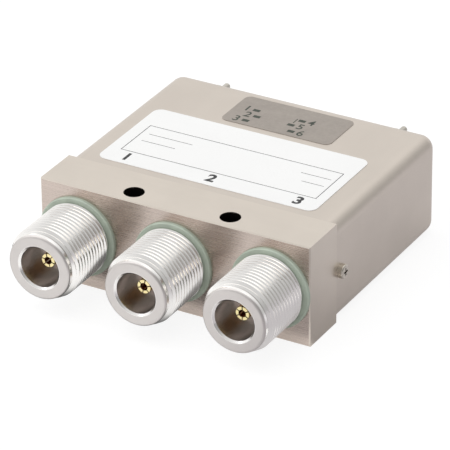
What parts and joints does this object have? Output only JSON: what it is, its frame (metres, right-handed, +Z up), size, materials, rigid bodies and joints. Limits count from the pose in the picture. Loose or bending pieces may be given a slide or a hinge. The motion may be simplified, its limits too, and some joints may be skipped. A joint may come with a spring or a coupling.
{
  "type": "coaxial antenna switch",
  "caption": "Relay coaxial switch: flat drawn can behind a block with three threaded coaxial jacks in a row, cross-drilled for mounting, solder posts at the back.",
  "frame": {"origin": "on the underside, midway between the axes of the two mounting holes", "axes": "+Z up along the mounting holes, X along the row of connectors with port 3 on +X, -Y out of the connectors, +Y towards the solder posts"},
  "size_m": [0.0652, 0.0762, 0.0228],
  "materials": {
    "nickel_block": "nickel-plated machined block, satin top and fine-brushed front",
    "nickel_can": "drawn can with smooth satin nickel plating",
    "bright_plate": "bright white plating on turned brass, slightly matt on the front ring",
    "gold_plate": "gold plating on beryllium copper",
    "gasket_green": "pale sage green elastomer, matt",
    "bead_white": "white fluoropolymer bead",
    "machined_aluminium": "plain machined aluminium with a fine milled grain",
    "rod_clear": "amber-clear cross-linked styrene rod",
    "spring_steel": "bright drawn spring wire",
    "small_steel": "zinc-plated small hardware",
    "screw_nickel": "nickel-plated screw",
    "soft_iron": "annealed soft iron with thin nickel flash, grey satin",
    "brass_plain": "plain turned brass",
    "bobbin_nylon": "black glass-filled nylon",
    "copper_wire": "enamelled copper wire, layer wound",
    "switch_black": "black moulded switch case",
    "plunger_red": "red moulded plunger",
    "tinned": "bright tin plating",
    "board_green": "green solder mask on glass epoxy",
    "chip_black": "black epoxy package",
    "chip_ceramic": "thick-film chip with tinned ends",
    "label_white": "white printed polyester film",
    "label_grey": "warm grey printed polyester film"
  },
  "bodies": {
    "switch_body": {"rf_housing": "nickel_block", "cavity_cover": "machined_aluminium", "cavity_cover_screws": "small_steel", "front_beads": "bead_white", "rear_beads": "bead_white", "rocker_axle": "small_steel", "axle_clips": "spring_steel", "pivot_bracket": "brass_plain", "pivot_bracket_screws": "small_steel", "failsafe_spring": "spring_steel", "frame_standoffs": "brass_plain", "yoke_plate": "soft_iron", "standoff_screws": "small_steel", "magnet_core": "soft_iron", "core_screw": "small_steel", "coil_bobbin": "bobbin_nylon", "coil_winding": "copper_wire", "coil_pins": "tinned", "indicator_switch_case": "switch_black", "indicator_terminals": "tinned", "indicator_leads": "tinned", "indicator_bracket": "machined_aluminium", "indicator_screws": "small_steel", "driver_board": "board_green", "board_spacers": "brass_plain", "board_screws": "small_steel", "board_ic": "chip_black", "board_transistor": "chip_black", "board_diodes": "chip_black", "board_resistors": "chip_ceramic", "terminal_posts": "tinned", "terminal_bushings": "bead_white", "cover_can": "nickel_can", "cover_screws": "screw_nickel", "port_label": "label_white", "terminal_label": "label_grey", "connector_shell_1": "bright_plate", "base_gasket_1": "gasket_green", "centre_contact_1": "gold_plate", "connector_shell_2": "bright_plate", "base_gasket_2": "gasket_green", "centre_contact_2": "gold_plate", "connector_shell_3": "bright_plate", "base_gasket_3": "gasket_green", "centre_contact_3": "gold_plate", "nc_rod_spring": "spring_steel", "no_rod_spring": "spring_steel"},
    "rocker": {"rocker_armature": "soft_iron", "rocker_adjusting_screws": "small_steel"},
    "nc_contact": {"nc_reed": "gold_plate", "nc_push_rod": "rod_clear", "nc_rod_clip": "spring_steel"},
    "no_contact": {"no_reed": "gold_plate", "no_push_rod": "rod_clear", "no_rod_clip": "spring_steel"},
    "indicator_plunger_body": {"indicator_plunger": "plunger_red"}
  },
  "joints": [
    {"name": "rocker_pivot", "type": "hinge", "parent": "switch_body", "child": "rocker", "pos_m": [0, 0.01725, 0.0114], "axis": [0, 0, -1], "range_deg": [0, 8.91], "stiffness_Nm_per_rad": 0.03, "springref_deg": -14.32, "deforming": ["failsafe_spring"]},
    {"name": "nc_rod_slide", "type": "slide", "parent": "switch_body", "child": "nc_contact", "axis": [0, 1, 0], "range_m": [0, 0.00176], "deforming": ["nc_rod_spring"]},
    {"name": "no_rod_slide", "type": "slide", "parent": "switch_body", "child": "no_contact", "axis": [0, -1, 0], "range_m": [0, 0.00176], "deforming": ["no_rod_spring"]},
    {"name": "indicator_plunger_slide", "type": "slide", "parent": "switch_body", "child": "indicator_plunger_body", "axis": [0, -1, 0], "range_m": [0, 0.00078]}
  ],
  "couplings": [
    {"joint": "nc_rod_slide", "follows": "rocker_pivot", "m_per_rad": 0.01125},
    {"joint": "no_rod_slide", "follows": "rocker_pivot", "m_per_rad": 0.01125},
    {"joint": "indicator_plunger_slide", "follows": "rocker_pivot", "m_per_rad": 0.0049}
  ]
}
